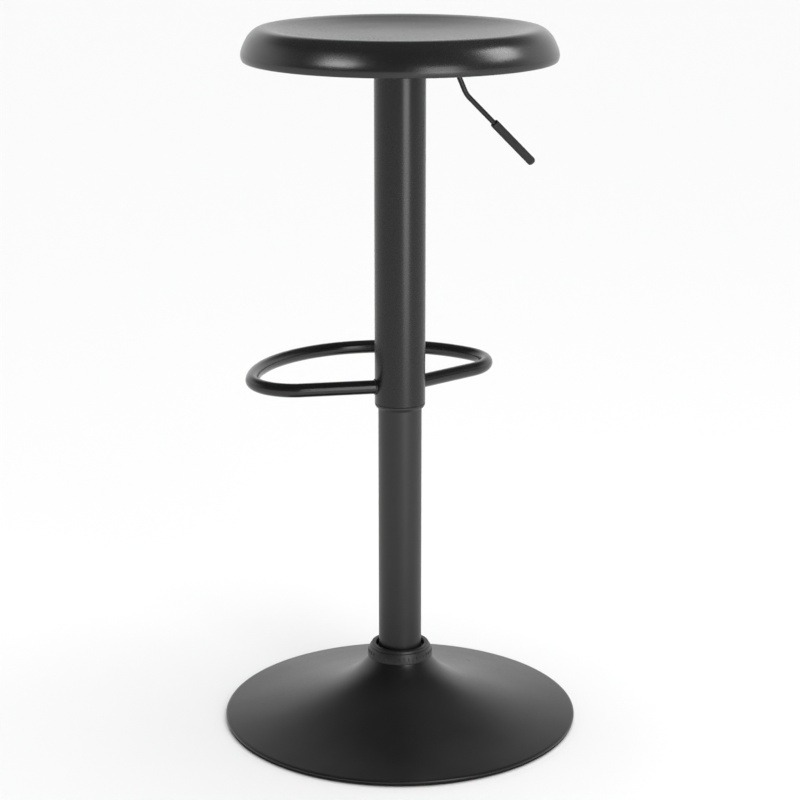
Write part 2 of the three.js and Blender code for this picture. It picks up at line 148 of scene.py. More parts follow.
def soft_box(name, azimuth, distance, height, width, tall, power):
    """An area light that faces the stool. Azimuth 0 is in front, 90 is on the right."""
    light = bpy.data.lights.new(name, "AREA")
    light.shape = "RECTANGLE"
    light.size = width
    light.size_y = tall
    light.energy = power
    lamp = bpy.data.objects.new(name, light)
    turn = math.radians(azimuth)
    lamp.location = (distance * math.sin(turn), -distance * math.cos(turn), height)
    aim = Vector((0.0, 0.0, AIM_HEIGHT)) - Vector(lamp.location)
    lamp.rotation_euler = aim.to_track_quat("-Z", "Y").to_euler()
    bpy.context.scene.collection.objects.link(lamp)
    return lamp


def room_light():
    """A world that is white near the horizon behind, and dark above and in front."""
    world = bpy.data.worlds.new("studio_room")
    bpy.context.scene.world = world
    world.use_nodes = True
    tree = world.node_tree
    tree.nodes.clear()
    direction = node_in(tree, "ShaderNodeTexCoord")
    parts = node_in(tree, "ShaderNodeSeparateXYZ")
    tree.links.new(direction.outputs["Generated"], parts.inputs[0])
    height = node_in(tree, "ShaderNodeMapRange", interpolation_type="SMOOTHSTEP")
    height.inputs["From Min"].default_value = 0.3
    height.inputs["From Max"].default_value = 0.68
    height.inputs["To Min"].default_value = 1.0
    height.inputs["To Max"].default_value = 0.06
    tree.links.new(parts.outputs["Z"], height.inputs["Value"])
    depth = node_in(tree, "ShaderNodeMapRange", interpolation_type="SMOOTHSTEP")
    depth.inputs["From Min"].default_value = -0.35
    depth.inputs["From Max"].default_value = 0.45
    depth.inputs["To Min"].default_value = 0.13
    depth.inputs["To Max"].default_value = 1.35
    tree.links.new(parts.outputs["Y"], depth.inputs["Value"])
    both = node_in(tree, "ShaderNodeMath", operation="MULTIPLY")
    tree.links.new(height.outputs["Result"], both.inputs[0])
    tree.links.new(depth.outputs["Result"], both.inputs[1])
    background = node_in(tree, "ShaderNodeBackground")
    tree.links.new(both.outputs["Value"], background.inputs["Strength"])
    output = node_in(tree, "ShaderNodeOutputWorld")
    tree.links.new(background.outputs[0], output.inputs[0])


room_light()
soft_box("box_front_right_tall", 28.0, 2.3, 0.8, 1.0, 1.8, 26.0)
high_boxes = [
    soft_box("box_front_left", -46.0, 2.3, 2.0, 1.0, 0.8, 26.0),
    soft_box("box_side_right", 87.0, 2.3, 2.35, 1.1, 1.0, 34.0),
]

sun_light = bpy.data.lights.new("broad_sun", "SUN")
sun_light.energy = 3.1
sun_light.angle = math.radians(70.0)
sun = bpy.data.objects.new("broad_sun", sun_light)
sun.rotation_euler = (math.radians(-12.0), math.radians(8.0), 0.0)
sun.visible_glossy = False
bpy.context.scene.collection.objects.link(sun)
bpy.context.scene.view_settings.view_transform = "Standard"

# %% [markdown]
# ## Finishes
#
# Every finish is one Principled shader fed by small procedural patterns. Each has the same three
# layers: a slow drift in colour, a change in roughness with fine rubbed lines, and a bump at the
# scale of the real surface. An image would tie the finish to one shape; patterns on object
# coordinates follow any piece.

# %% Helpers for the finishes
def link_value(tree, value, socket):
    """Joins a socket to another, or sets it to a plain value."""
    if hasattr(value, "is_output"):
        tree.links.new(value, socket)
    else:
        socket.default_value = value


def noise(tree, coordinates, scale, detail=3.0, stretch=(1.0, 1.0, 1.0)):
    """Noise at so many features in a metre, drawn out where stretch is below one."""
    mapping = node_in(tree, "ShaderNodeMapping")
    mapping.inputs["Scale"].default_value = stretch
    tree.links.new(coordinates, mapping.inputs["Vector"])
    pattern = node_in(tree, "ShaderNodeTexNoise")
    pattern.inputs["Scale"].default_value = scale
    pattern.inputs["Detail"].default_value = detail
    tree.links.new(mapping.outputs["Vector"], pattern.inputs["Vector"])
    return pattern.outputs["Fac"]


def remap(tree, value, low, high, to_low, to_high):
    """Stretches the part of a pattern between low and high over a new range."""
    node = node_in(tree, "ShaderNodeMapRange")
    for socket, number in zip(node.inputs[1:5], (low, high, to_low, to_high)):
        socket.default_value = number
    tree.links.new(value, node.inputs["Value"])
    return node.outputs["Result"]


def calculate(tree, operation, first, second):
    """A Math node on two values or sockets."""
    node = node_in(tree, "ShaderNodeMath", operation=operation)
    link_value(tree, first, node.inputs[0])
    link_value(tree, second, node.inputs[1])
    return node.outputs["Value"]


def blend_colours(tree, factor, first, second):
    """The first colour where the factor is 0, the second where it is 1."""
    node = node_in(tree, "ShaderNodeMix", data_type="RGBA")
    link_value(tree, factor, node.inputs["Factor"])
    link_value(tree, first, node.inputs["A"])
    link_value(tree, second, node.inputs["B"])
    return node.outputs["Result"]


def grey(level, warmth=0.0):
    """A colour close to grey, a little warmer or cooler."""
    return (level * (1 + warmth), level, level * (1 - warmth), 1.0)


print("a warm grey:", [round(value, 3) for value in grey(0.1, 0.05)])

# %% [markdown]
# ## The recipe for one finish
#
# Paint, plastic and bare metal differ in numbers more than in kind, so one recipe serves all. The
# pointed parts of a mesh are where a real coat wears first, and the Pointiness value finds them.
# Wear could be painted by hand, but then it would have to be done again for each piece.

# %% Build one finish from its numbers
WORN_EDGES = 0.25


def finish(name, dark, light, rough, grain, peel, metallic=0.0, specular=0.5, rubbed=0.0,
           rubbed_colour=(0.03, 0.03, 0.03, 1.0), brushed=None, waves=0.0):
    """A surface finish.

    dark, light: colours that the slow drift moves between. rough: lowest and highest roughness.
    grain: features in a metre of the fine bump, and peel its height in metres.
    rubbed: share of the surface with fine handling marks, whose colour sharp edges also take.
    brushed: stretch of drawn-out lines. waves: height in metres of the slow unevenness that
    pressed sheet has.
    """
    material = bpy.data.materials.new(name)
    material.use_nodes = True
    tree = material.node_tree
    shader = tree.nodes["Principled BSDF"]
    shader.inputs["Metallic"].default_value = metallic
    shader.inputs["Specular IOR Level"].default_value = specular
    place = node_in(tree, "ShaderNodeTexCoord").outputs["Object"]

    drift = noise(tree, place, 9.0, 4.0)
    speck = noise(tree, place, 420.0, 2.0)
    tone = remap(tree, drift, 0.3, 0.7, 0.0, 1.0)
    colour = blend_colours(tree, tone, dark, light)
    marks = remap(tree, noise(tree, place, 160.0, 5.0, (1.0, 0.35, 2.4)), 0.66, 0.78, 0.0, rubbed)
    sharpness = node_in(tree, "ShaderNodeNewGeometry").outputs["Pointiness"]
    edges = calculate(tree, "MULTIPLY", remap(tree, sharpness, 0.54, 0.66, 0.0, WORN_EDGES),
                      remap(tree, noise(tree, place, 60.0, 4.0), 0.35, 0.6, 0.2, 1.0))
    colour = blend_colours(tree, calculate(tree, "MAXIMUM", marks, edges), colour, rubbed_colour)
    tree.links.new(colour, shader.inputs["Base Color"])

    roughness = remap(tree, drift, 0.25, 0.75, rough[0], rough[1])
    roughness = calculate(tree, "ADD", roughness, remap(tree, speck, 0.2, 0.8, -0.03, 0.03))
    roughness = calculate(tree, "ADD", roughness, calculate(tree, "MULTIPLY", marks, 0.5))
    if brushed:
        lines = noise(tree, place, 300.0, 4.0, brushed)
        roughness = calculate(tree, "ADD", roughness, remap(tree, lines, 0.3, 0.7, -0.08, 0.08))
    tree.links.new(roughness, shader.inputs["Roughness"])

    fine = node_in(tree, "ShaderNodeBump")
    fine.inputs["Distance"].default_value = peel
    tree.links.new(noise(tree, place, grain, 2.0), fine.inputs["Height"])
    if waves:
        slow = node_in(tree, "ShaderNodeBump")
        slow.inputs["Distance"].default_value = waves
        tree.links.new(noise(tree, place, 14.0, 1.0), slow.inputs["Height"])
        tree.links.new(slow.outputs["Normal"], fine.inputs["Normal"])
    if brushed:
        drawn = node_in(tree, "ShaderNodeBump")
        drawn.inputs["Distance"].default_value = peel
        tree.links.new(lines, drawn.inputs["Height"])
        tree.links.new(drawn.outputs["Normal"], fine.inputs["Normal"])
    tree.links.new(fine.outputs["Normal"], shader.inputs["Normal"])
    return material


print("edges go", WORN_EDGES, "of the way to the colour of the marks")

# %% [markdown]
# ## The finishes of this stool
#
# The seat and footrest are glossy black, the tube a little plainer, the column and base satin. The
# tube's black is also darker than the seat's, though it is the same paint: that darkness is painted
# shade.
# Moulded parts are rougher. Hidden pieces are bare steel, iron and brass. One black for all would
# be quicker, but it is the small change in gloss that tells the pieces apart.

# %% Mix the finishes
seat_coat = finish("seat_coat", grey(0.009), grey(0.014), (0.22, 0.28), 600.0, 0.000004,
                   rubbed=0.1, waves=0.0004)
# The coat of the tube and lever is darker than the seat's: painted shade, standing in for the
# darker look of the upright tube.
tube_coat_with_painted_shade = finish("tube_coat_with_painted_shade", grey(0.006), grey(0.009), (0.24, 0.3), 600.0, 0.000002,
                   specular=0.42, rubbed=0.1, waves=0.00006)
footrest_coat = finish("footrest_coat", grey(0.009), grey(0.015), (0.17, 0.25), 800.0, 0.00002,
                       rubbed=0.3, rubbed_colour=grey(0.06, 0.02), waves=0.0002)
satin_coat = finish("satin_coat", grey(0.014), grey(0.02), (0.38, 0.45), 1200.0, 0.00002,
                    rubbed=0.12)
base_coat = finish("base_coat", grey(0.009), grey(0.015), (0.29, 0.36), 900.0, 0.00001,
                   rubbed=0.2, waves=0.0005)
moulded_plastic = finish("moulded_plastic", grey(0.014), grey(0.022), (0.36, 0.5), 1100.0, 0.00012,
                         rubbed=0.25, rubbed_colour=grey(0.05))
grip_plastic = finish("grip_plastic", grey(0.018), grey(0.03), (0.5, 0.62), 1600.0, 0.0001,
                      rubbed=0.3, rubbed_colour=grey(0.06))
black_rubber = finish("black_rubber", grey(0.01), grey(0.018), (0.75, 0.88), 900.0, 0.00015,
                      specular=0.3, rubbed=0.3, rubbed_colour=grey(0.05, 0.05))
dark_iron = finish("dark_iron", grey(0.045, 0.02), grey(0.1, 0.06), (0.42, 0.6), 500.0, 0.00012,
                   metallic=0.85, rubbed=0.4, rubbed_colour=grey(0.2, 0.05))
black_steel = finish("black_steel", grey(0.03), grey(0.06), (0.3, 0.42), 900.0, 0.00004,
                     metallic=0.9, rubbed=0.25, brushed=(1.0, 1.0, 0.03))
bright_steel = finish("bright_steel", grey(0.42, -0.01), grey(0.55), (0.24, 0.36), 1200.0,
                      0.00003, metallic=1.0, rubbed=0.3, rubbed_colour=grey(0.3),
                      brushed=(0.12, 0.12, 2.0))
turned_brass = finish("turned_brass", (0.5, 0.35, 0.13, 1.0), (0.62, 0.45, 0.18, 1.0),
                      (0.24, 0.36), 1200.0, 0.00003, metallic=1.0, rubbed=0.3,
                      rubbed_colour=(0.35, 0.24, 0.1, 1.0), brushed=(0.1, 0.1, 2.0))
print("finishes:", len(bpy.data.materials) - 1)

# %% [markdown]
# ## Sections
#
# Most of this stool is turned or spun: its shape is one section carried round the column's axis.
# A section is a list of radius and height in millimetres. Pressed sheet needs a flowing section,
# so points are joined by a smooth curve. Machined rings need crisp corners with a small round,
# because a perfectly sharp edge never catches the light.

# %% Helpers for sections
def flowing(points, spans=6):
    """A smooth curve through the points (Catmull-Rom), with so many steps in each span."""
    padded = [points[0]] + list(points) + [points[-1]]
    curve = []
    for i in range(1, len(padded) - 2):
        p0, p1, p2, p3 = (Vector(p) for p in padded[i - 1:i + 3])
        for step in range(spans):
            t = step / spans
            curve.append(tuple(
                0.5 * ((2 * p1) + (p2 - p0) * t + (2 * p0 - 5 * p1 + 4 * p2 - p3) * t * t
                       + (3 * p1 - p0 - 3 * p2 + p3) * t ** 3)
            ))
    curve.append(tuple(points[-1]))
    return curve


def offset(points, distance):
    """The same section moved to its right by the sheet's thickness."""
    moved = []
    for i, (radius, height) in enumerate(points):
        before = Vector(points[max(i - 1, 0)])
        after = Vector(points[min(i + 1, len(points) - 1)])
        along = (after - before).normalized()
        moved.append((max(radius + distance * along.y, 0.0), height - distance * along.x))
    return moved


def softened(points, radius, closed=True, steps=3):
    """Rounds every corner that turns by more than 20 degrees, and holds the flats beside it."""
    count = len(points)
    result = []
    for i, point in enumerate(points):
        if not closed and i in (0, count - 1):
            result.append(tuple(point))
            continue
        here = Vector(point)
        back = Vector(points[i - 1]) - here
        ahead = Vector(points[(i + 1) % count]) - here
        turn = math.pi - back.angle(ahead)
        if turn < math.radians(20):
            result.append(tuple(point))
            continue
        setback = min(radius * math.tan(turn / 2), 0.42 * back.length, 0.42 * ahead.length)
        hold = min(setback * 0.5, 0.05 * back.length, 0.05 * ahead.length)
        start = here + back.normalized() * setback
        end = here + ahead.normalized() * setback
        result.append(tuple(start + back.normalized() * hold))
        for step in range(steps + 1):
            t = step / steps
            result.append(tuple(start * (1 - t) ** 2 + here * 2 * t * (1 - t) + end * t * t))
        result.append(tuple(end + ahead.normalized() * hold))
    return result


def section_mesh(points, closed):
    """The section as a chain of edges in the XZ plane, in metres."""
    points = list(points) + ([points[0]] if closed else [])
    mesh = bpy.data.meshes.new("section")
    mesh.from_pydata([(r * MM, 0.0, z * MM) for r, z in points],
                     [(i, i + 1) for i in range(len(points) - 1)], [])
    return mesh


square = [(0, 0), (10, 0), (10, 10), (0, 10)]
print("a square has 4 points, and", len(softened(square, 1.0)), "once its corners are eased")

# %% [markdown]
# ## Node trees
#
# A geometry node tree turns a simple input into the finished shape, and its named inputs are the
# sizes that a maker would ask for. Four trees are enough for this stool: one spins a section,
# one sweeps a round bar along a path, one sets copies of a shape on points, and one cuts a
# knurl. A modifier could stay live, but a plain mesh is safer to hand on, so every result is
# converted and its modifier goes away.

# %% Helpers for trees
def new_tree(name, sockets):
    """An empty geometry node tree with geometry in and out, and these named inputs."""
    tree = bpy.data.node_groups.new(name, "GeometryNodeTree")
    tree.interface.new_socket("Geometry", in_out="INPUT", socket_type="NodeSocketGeometry")
    for label, kind, value in sockets:
        socket = tree.interface.new_socket(label, in_out="INPUT", socket_type=kind)
        if value is not None:
            socket.default_value = value
    tree.interface.new_socket("Geometry", in_out="OUTPUT", socket_type="NodeSocketGeometry")
    return tree, node_in(tree, "NodeGroupInput").outputs, node_in(tree, "NodeGroupOutput")


def sums(tree, operation, *values):
    """A Math node on values or sockets."""
    node = node_in(tree, "ShaderNodeMath", operation=operation)
    for value, socket in zip(values, node.inputs):
        link_value(tree, value, socket)
    return node.outputs[0]


def split(tree, vector):
    """The X, Y and Z of a vector."""
    node = node_in(tree, "ShaderNodeSeparateXYZ")
    tree.links.new(vector, node.inputs[0])
    return node.outputs


def joined(tree, x, y, z):
    """A vector from three values or sockets."""
    node = node_in(tree, "ShaderNodeCombineXYZ")
    for value, socket in zip((x, y, z), node.inputs):
        link_value(tree, value, socket)
    return node.outputs[0]


def close_tree(tree, geometry, material, end):
    """Realizes instances, smooths, sets the finish and reaches the output."""
    realize = node_in(tree, "GeometryNodeRealizeInstances")
    tree.links.new(geometry, realize.inputs[0])
    shade = node_in(tree, "GeometryNodeSetShadeSmooth")
    tree.links.new(realize.outputs[0], shade.inputs["Geometry"])
    shade.inputs["Shade Smooth"].default_value = True
    paint = node_in(tree, "GeometryNodeSetMaterial")
    tree.links.new(shade.outputs[0], paint.inputs["Geometry"])
    tree.links.new(material, paint.inputs["Material"])
    tree.links.new(paint.outputs[0], end.inputs[0])


print("node helpers:", [helper.__name__ for helper in (new_tree, sums, split, joined, close_tree)])

# %% [markdown]
# ### Spinning
#
# Seat, tubes, collar and base are all made round a die or on a lathe. A Screw modifier would spin
# a section too. The tree lays a flat grid and wraps it round the axis, so that the number of
# facets is an input and every row of the mesh is one point of the section.

# %% The spinning tree
MERGE_DISTANCE = 2e-6


def spinning_tree():
    """Carries a section, point by point, round the Z axis."""
    tree, given, end = new_tree("Spun section", [
        ("Facets", "NodeSocketInt", 96),
        ("Finish", "NodeSocketMaterial", None),
    ])
    size = node_in(tree, "GeometryNodeAttributeDomainSize", component="MESH")
    tree.links.new(given["Geometry"], size.inputs[0])
    grid = node_in(tree, "GeometryNodeMeshGrid")
    grid.inputs["Size X"].default_value = 1.0
    grid.inputs["Size Y"].default_value = 1.0
    tree.links.new(sums(tree, "ADD", given["Facets"], 1.0), grid.inputs["Vertices X"])
    tree.links.new(size.outputs["Point Count"], grid.inputs["Vertices Y"])
    place = node_in(tree, "GeometryNodeInputPosition").outputs[0]
    across = split(tree, place)
    turn = sums(tree, "MULTIPLY", sums(tree, "ADD", across["X"], 0.5), 2 * math.pi)
    last = sums(tree, "SUBTRACT", size.outputs["Point Count"], 1.0)
    row = sums(tree, "ROUND", sums(tree, "MULTIPLY", sums(tree, "ADD", across["Y"], 0.5), last))
    pick = node_in(tree, "GeometryNodeSampleIndex", data_type="FLOAT_VECTOR", domain="POINT")
    tree.links.new(given["Geometry"], pick.inputs["Geometry"])
    tree.links.new(place, pick.inputs["Value"])
    tree.links.new(row, pick.inputs["Index"])
    point = split(tree, pick.outputs[0])
    put = node_in(tree, "GeometryNodeSetPosition")
    tree.links.new(grid.outputs["Mesh"], put.inputs["Geometry"])
    tree.links.new(joined(tree, sums(tree, "MULTIPLY", point["X"], sums(tree, "COSINE", turn)),
                          sums(tree, "MULTIPLY", point["X"], sums(tree, "SINE", turn)),
                          point["Z"]), put.inputs["Position"])
    merge = node_in(tree, "GeometryNodeMergeByDistance")
    merge.inputs["Distance"].default_value = MERGE_DISTANCE
    tree.links.new(put.outputs[0], merge.inputs["Geometry"])
    close_tree(tree, merge.outputs[0], given["Finish"], end)
    return tree


SPIN = spinning_tree()
print("spinning tree:", len(SPIN.nodes), "nodes")

# %% [markdown]
# ### Sweeping
#
# The footrest and the lever are bent from round bar. A curve with a bevel would give the plain
# bar, but not the weld beads, which swell and pinch along their way. Here the same tree does
# both, since a ripple of zero leaves the bar plain.

# %% The sweeping tree
def sweeping_tree():
    """Sweeps a round bar along a path; a ripple swells and pinches it, as a weld bead does."""
    tree, given, end = new_tree("Swept bar", [
        ("Radius", "NodeSocketFloat", 0.005),
        ("Sides", "NodeSocketInt", 24),
        ("Ripple", "NodeSocketFloat", 0.0),
        ("Ripples", "NodeSocketFloat", 24.0),
        ("Finish", "NodeSocketMaterial", None),
    ])
    path = node_in(tree, "GeometryNodeMeshToCurve")
    tree.links.new(given["Geometry"], path.inputs[0])
    along = node_in(tree, "GeometryNodeSplineParameter").outputs["Factor"]
    wave = sums(tree, "SINE", sums(tree, "MULTIPLY", sums(tree, "MULTIPLY", along,
                given["Ripples"]), 2 * math.pi))
    swell = sums(tree, "ADD", sums(tree, "MULTIPLY", wave, given["Ripple"]), 1.0)
    sized = node_in(tree, "GeometryNodeSetCurveRadius")
    tree.links.new(path.outputs[0], sized.inputs["Curve"])
    tree.links.new(swell, sized.inputs["Radius"])
    circle = node_in(tree, "GeometryNodeCurvePrimitiveCircle")
    tree.links.new(given["Sides"], circle.inputs["Resolution"])
    tree.links.new(given["Radius"], circle.inputs["Radius"])
    skin = node_in(tree, "GeometryNodeCurveToMesh")
    tree.links.new(sized.outputs[0], skin.inputs["Curve"])
    tree.links.new(circle.outputs[0], skin.inputs["Profile Curve"])
    skin.inputs["Fill Caps"].default_value = True
    close_tree(tree, skin.outputs[0], given["Finish"], end)
    return tree


SWEEP = sweeping_tree()
print("sweeping tree:", len(SWEEP.nodes), "nodes")

# %% [markdown]
# ### Copying
#
# Screws, washers, bearing balls and the collar's ribs are each one shape many times over. Array
# modifiers could set them, but a tree takes any points, can turn each copy outward, and varies
# the size from a fixed seed, so that every run gives the same stool.

# %% The copying tree
def copying_tree():
    """Sets copies of a shape on points. Each turns outward and may vary a little in size."""
    tree, given, end = new_tree("Copies on points", [
        ("Shape", "NodeSocketObject", None),
        ("Face outward", "NodeSocketBool", False),
        ("Least size", "NodeSocketVector", (1.0, 1.0, 1.0)),
        ("Seed", "NodeSocketInt", 7),
        ("Finish", "NodeSocketMaterial", None),
    ])
    shape = node_in(tree, "GeometryNodeObjectInfo")
    tree.links.new(given["Shape"], shape.inputs["Object"])
    across = split(tree, node_in(tree, "GeometryNodeInputPosition").outputs[0])
    facing = sums(tree, "MULTIPLY", sums(tree, "ARCTAN2", across["Y"], across["X"]),
                  given["Face outward"])
    size = node_in(tree, "FunctionNodeRandomValue", data_type="FLOAT_VECTOR")
    tree.links.new(given["Least size"], size.inputs["Min"])
    tree.links.new(given["Seed"], size.inputs["Seed"])
    size.inputs["Max"].default_value = (1.0, 1.0, 1.0)
    copies = node_in(tree, "GeometryNodeInstanceOnPoints")
    tree.links.new(given["Geometry"], copies.inputs["Points"])
    tree.links.new(shape.outputs["Geometry"], copies.inputs["Instance"])
    tree.links.new(joined(tree, 0.0, 0.0, facing), copies.inputs["Rotation"])
    tree.links.new(size.outputs["Value"], copies.inputs["Scale"])
    close_tree(tree, copies.outputs[0], given["Finish"], end)
    return tree


COPY = copying_tree()
print("copying tree:", len(COPY.nodes), "nodes")

# %% [markdown]
# ### Knurling
#
# A grip is often cut with two crossing sets of fine grooves. Modelling each groove would take many
# cuts. Since both sets are plain spirals, a sine of angle and height says how deep the surface
# lies at every point, and the tree moves the points there.

# %% The knurling tree
UNCUT_RADIUS = 0.0042


def knurling_tree():
    """Cuts two crossing sets of grooves into a grip, between two heights, but not into its bore."""
    tree, given, end = new_tree("Knurl", [
        ("Depth", "NodeSocketFloat", 0.0003),
        ("Starts", "NodeSocketFloat", 24.0),
        ("Lead", "NodeSocketFloat", 0.04),
        ("From", "NodeSocketFloat", 0.0),
        ("To", "NodeSocketFloat", 0.06),
        ("Finish", "NodeSocketMaterial", None),
    ])
    across = split(tree, node_in(tree, "GeometryNodeInputPosition").outputs[0])
    around = sums(tree, "MULTIPLY", sums(tree, "ARCTAN2", across["Y"], across["X"]),
                  sums(tree, "MULTIPLY", given["Starts"], 0.5))
    climb = sums(tree, "MULTIPLY", sums(tree, "DIVIDE", across["Z"], given["Lead"]),
                 sums(tree, "MULTIPLY", given["Starts"], math.pi))
    right = sums(tree, "ABSOLUTE", sums(tree, "SINE", sums(tree, "ADD", around, climb)))
    left = sums(tree, "ABSOLUTE", sums(tree, "SINE", sums(tree, "SUBTRACT", around, climb)))
    groove = sums(tree, "SUBTRACT", sums(tree, "MINIMUM", right, left), 0.6)
    floor_of_groove = sums(tree, "MINIMUM", groove, 0.0)
    inside = sums(tree, "MULTIPLY", sums(tree, "GREATER_THAN", across["Z"], given["From"]),
                  sums(tree, "LESS_THAN", across["Z"], given["To"]))
    radius = sums(tree, "SQRT", sums(tree, "ADD", sums(tree, "MULTIPLY", across["X"], across["X"]),
                                     sums(tree, "MULTIPLY", across["Y"], across["Y"])))
    outside = sums(tree, "GREATER_THAN", radius, UNCUT_RADIUS)
    depth = sums(tree, "MULTIPLY", sums(tree, "MULTIPLY", floor_of_groove, given["Depth"]),
                 sums(tree, "MULTIPLY", inside, outside))
    share = sums(tree, "DIVIDE", depth, sums(tree, "MAXIMUM", radius, 0.001))
    put = node_in(tree, "GeometryNodeSetPosition")
    tree.links.new(given["Geometry"], put.inputs["Geometry"])
    tree.links.new(joined(tree, sums(tree, "MULTIPLY", across["X"], share),
                          sums(tree, "MULTIPLY", across["Y"], share), 0.0), put.inputs["Offset"])
    close_tree(tree, put.outputs[0], given["Finish"], end)
    return tree


KNURL = knurling_tree()
print("trees:", [tree.name for tree in (SPIN, SWEEP, COPY, KNURL)])

# %% [markdown]
# ## From a tree to a kept piece
#
# The input mesh goes on a short-lived object with its modifiers. Their inputs are set by the
# socket's identifier before anything is evaluated. The evaluated result is copied to a plain
# mesh, seams are merged, faces are turned outwards, and the piece is put on its body.

# %% Work a mesh through its trees
def one_finish(mesh):
    """Leaves one finish on a mesh. New shapes in a tree start with an empty slot before it."""
    material = next(item for item in mesh.materials if item)
    mesh.materials.clear()
    mesh.materials.append(material)
    for polygon in mesh.polygons:
        polygon.material_index = 0


def worked(mesh, steps):
    """The plain mesh that comes out of a list of (tree, inputs) modifiers."""
    worker = bpy.data.objects.new("worker", mesh)
    bpy.context.scene.collection.objects.link(worker)
    for tree, values in steps:
        modifier = worker.modifiers.new(tree.name, "NODES")
        modifier.node_group = tree
        for item in tree.interface.items_tree:
            if item.in_out == "INPUT" and item.name in values:
                modifier[item.identifier] = values[item.name]
    depsgraph = bpy.context.evaluated_depsgraph_get()
    result = bpy.data.meshes.new_from_object(worker.evaluated_get(depsgraph))
    bpy.data.objects.remove(worker)
    one_finish(result)
    return result


print("a piece can pass through any of", len(bpy.data.node_groups), "trees")


# %% Clean and join meshes
def cleaned(mesh, place=None):
    """Merges doubles, drops slivers, turns faces outwards and moves the mesh to its place."""
    shape = bmesh.new()
    shape.from_mesh(mesh)
    bmesh.ops.remove_doubles(shape, verts=shape.verts, dist=MERGE_DISTANCE)
    bmesh.ops.dissolve_degenerate(shape, edges=shape.edges, dist=1e-6)
    loose = [vert for vert in shape.verts if not vert.link_faces]
    bmesh.ops.delete(shape, geom=loose, context="VERTS")
    bmesh.ops.recalc_face_normals(shape, faces=shape.faces)
    shape.to_mesh(mesh)
    shape.free()
    if place is not None:
        mesh.transform(place)
    return mesh


def combined(meshes):
    """Several meshes as one."""
    shape = bmesh.new()
    for mesh in meshes:
        shape.from_mesh(mesh)
    result = bpy.data.meshes.new("combined")
    shape.to_mesh(result)
    shape.free()
    result.materials.append(meshes[0].materials[0])
    one_finish(result)
    return result


print("points closer than", MERGE_DISTANCE / MM, "mm are merged")


# %% Put a finished piece on its body
def keep(name, mesh, body, slot, *replaced):
    """Makes the finished piece, puts it on its body and hides the CAD nodes it replaces."""
    mesh.name = name
    piece = bpy.data.objects.new(name, mesh)
    bpy.context.scene.collection.objects.link(piece)
    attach(piece, body)
    if replaced:
        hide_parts(*replaced)
    low = [min(vert.co[i] for vert in mesh.vertices) / MM for i in range(3)]
    high = [max(vert.co[i] for vert in mesh.vertices) / MM for i in range(3)]
    print(name, "faces", len(mesh.polygons), "mm", [round(h - l, 1) for l, h in zip(low, high)])
    return piece


print("nodes to dress:", len(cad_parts))


# %% Spin, sweep and copy in one call
def spun(points, material, facets=96, closed=True, place=None):
    """A section carried round the Z axis."""
    mesh = worked(section_mesh(points, closed), [(SPIN, {"Facets": facets, "Finish": material})])
    return cleaned(mesh, place)


def swept(path, radius, material, sides=24, closed=False, ripple=0.0, ripples=24.0):
    """A round bar along a path in metres."""
    mesh = bpy.data.meshes.new("path")
    edges = [(i, i + 1) for i in range(len(path) - 1)]
    if closed:
        edges.append((len(path) - 1, 0))
    mesh.from_pydata([tuple(point) for point in path], edges, [])
    return cleaned(worked(mesh, [(SWEEP, {
        "Radius": radius, "Sides": sides, "Ripple": ripple, "Ripples": ripples,
        "Finish": material,
    })]))


def copied(shape_mesh, points, material, outward=False, least=(1.0, 1.0, 1.0), seed=7):
    """Copies of a small mesh on points in metres."""
    shape = bpy.data.objects.new("shape", shape_mesh)
    bpy.context.scene.collection.objects.link(shape)
    mesh = bpy.data.meshes.new("points")
    mesh.from_pydata([tuple(point) for point in points], [], [])
    result = worked(mesh, [(COPY, {
        "Shape": shape, "Face outward": outward, "Least size": least, "Seed": seed,
        "Finish": material,
    })])
    bpy.data.objects.remove(shape)
    return result


print("shape makers:", [maker.__name__ for maker in (spun, swept, copied)])

# %% [markdown]
# ### Easing the edges of a CAD piece
#
# Folded and drilled plates already have their true shape in the frame. Building them again would
# only risk a mistake. A copy of the CAD mesh has its loose triangles merged and its flats made
# whole, and then a Bevel modifier eases the edges, which are never knife-sharp on real sheet.

# %% Ease a copy of a CAD piece
EASED_ABOVE = math.radians(35.0)


def bevelled_copy(node, width, material, segments=2):
    """A CAD node's mesh with its doubles merged, its flats made whole and its edges eased."""
    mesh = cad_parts[node].data.copy()
    shape = bmesh.new()
    shape.from_mesh(mesh)
    bmesh.ops.remove_doubles(shape, verts=shape.verts, dist=MERGE_DISTANCE)
    bmesh.ops.dissolve_limit(shape, angle_limit=math.radians(1.0), verts=shape.verts,
                             edges=shape.edges)
    shape.to_mesh(mesh)
    shape.free()
    worker = bpy.data.objects.new("worker", mesh)
    bpy.context.scene.collection.objects.link(worker)
    bevel = worker.modifiers.new("eased", "BEVEL")
    bevel.width = width
    bevel.segments = segments
    bevel.limit_method = "ANGLE"
    bevel.angle_limit = EASED_ABOVE
    depsgraph = bpy.context.evaluated_depsgraph_get()
    result = bpy.data.meshes.new_from_object(worker.evaluated_get(depsgraph))
    bpy.data.objects.remove(worker)
    result.materials.clear()
    result.materials.append(material)
    for polygon in result.polygons:
        polygon.use_smooth = False
    return result


print("edges that turn by more than", round(math.degrees(EASED_ABOVE)), "degrees are eased")

# %% [markdown]
# ## The seat pan
#
# The seat is one steel sheet, spun or pressed to a shallow dish with a deep bull-nose rim. A
# sculpted disc could copy it, but the real tool is a round die, so a spun section is both
# quicker and truer. The underside is the same curve moved in by the sheet's thickness, and the
# free edge below is folded over into a small hem.

